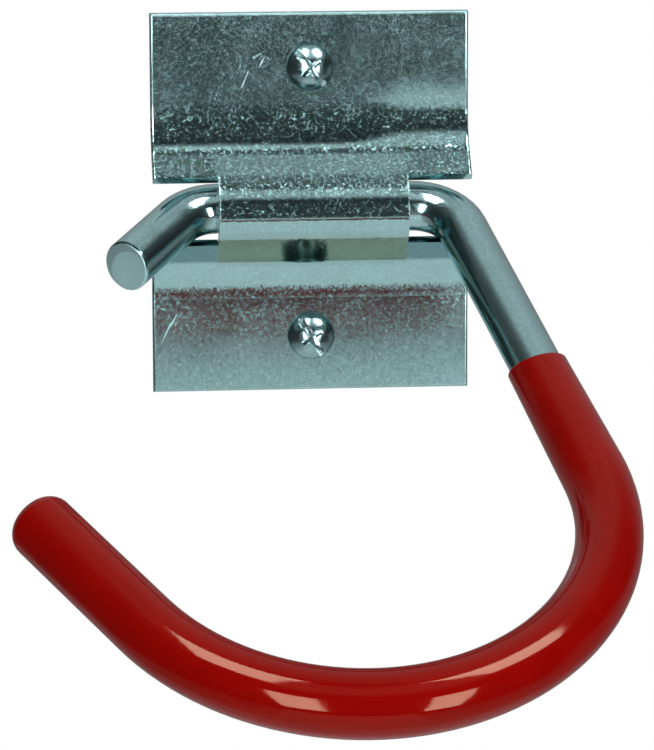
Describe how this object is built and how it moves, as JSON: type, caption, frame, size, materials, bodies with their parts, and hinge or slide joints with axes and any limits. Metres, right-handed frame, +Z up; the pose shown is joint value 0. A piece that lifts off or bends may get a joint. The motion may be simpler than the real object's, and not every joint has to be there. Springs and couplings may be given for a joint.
{
  "type": "utility hook",
  "caption": "Wall-mounted storage hook: a round bar bent to a wide open hook with a glossy red coat, hinged loosely under the rolled tongue of a folded zinc-plated bracket.",
  "frame": {"origin": "on the wall plane, midway between the two screws", "axes": "+X right as seen from the room, +Y into the wall along the screws, +Z up"},
  "size_m": [0.116, 0.1663, 0.118],
  "materials": {
    "zinc_sheet": "bright zinc plate, finely speckled and rubbed",
    "zinc_bar": "bright zinc plate, smooth and glossy",
    "red_coat": "glossy dipped soft plastic",
    "zinc_screw": "bright zinc plate"
  },
  "bodies": {
    "bracket": {"wall_bracket": "zinc_sheet", "mounting_screws": "zinc_screw"},
    "hook": {"hook_rod": "zinc_bar", "red_sleeve": "red_coat"}
  },
  "joints": [
    {"name": "hook_swing", "type": "hinge", "parent": "bracket", "child": "hook", "pos_m": [0, -0.0054, -0.0006], "axis": [-1, 0, 0], "range_deg": [0, 34]}
  ]
}
